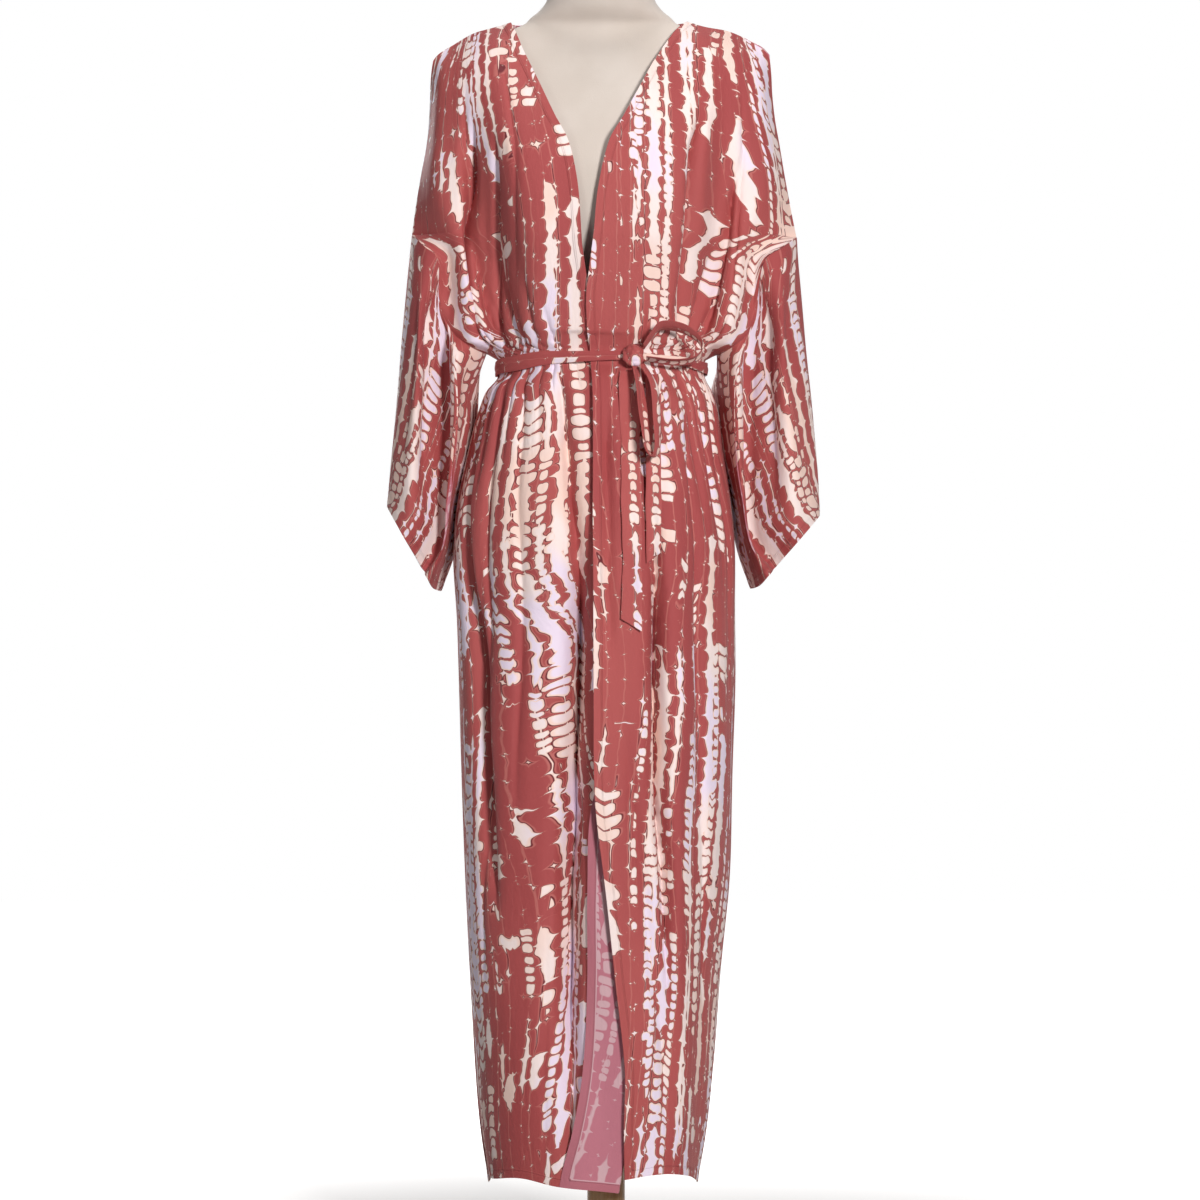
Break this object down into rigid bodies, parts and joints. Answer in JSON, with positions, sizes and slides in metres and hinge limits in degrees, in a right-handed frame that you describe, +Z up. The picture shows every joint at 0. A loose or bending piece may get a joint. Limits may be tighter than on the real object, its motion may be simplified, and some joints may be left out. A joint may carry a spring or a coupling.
{
  "type": "beach kimono on dress form stand",
  "caption": "Long wrap beach kimono with wide drop sleeves, deep V neck and a tied belt, standing on a limbless dress form with a round wooden base.",
  "frame": {"origin": "centre of the base's underside, on the axis of the stand's pole", "axes": "+Z up, front of the garment towards -Y, +X to the viewer's right and the wearer's left"},
  "size_m": [0.4976, 0.35, 1.496],
  "materials": {
    "back_cloth": "soft woven cloth with a streaked print",
    "front_under_cloth": "soft woven cloth with a streaked print",
    "front_over_cloth": "soft woven cloth with a streaked print",
    "sleeve_right_cloth": "soft woven cloth with a streaked print",
    "sleeve_left_cloth": "soft woven cloth with a streaked print",
    "belt_cloth": "soft woven cloth, same print",
    "form_cover": "smooth matt jersey",
    "neck_cap_wood": "satin",
    "pole_wood": "satin",
    "base_wood": "satin"
  },
  "bodies": {
    "root": {"back_panel": "back_cloth", "front_right_under": "front_under_cloth", "front_left_over": "front_over_cloth", "sleeve_right": "sleeve_right_cloth", "sleeve_left": "sleeve_left_cloth", "belt_band": "belt_cloth", "belt_knot": "belt_cloth", "bow_loop_upper": "belt_cloth", "bow_loop_hanging": "belt_cloth", "belt_tail_long": "belt_cloth", "belt_tail_short": "belt_cloth", "form_torso": "form_cover", "form_neck_cap": "neck_cap_wood", "stand_pole": "pole_wood", "stand_base": "base_wood"}
  },
  "joints": []
}
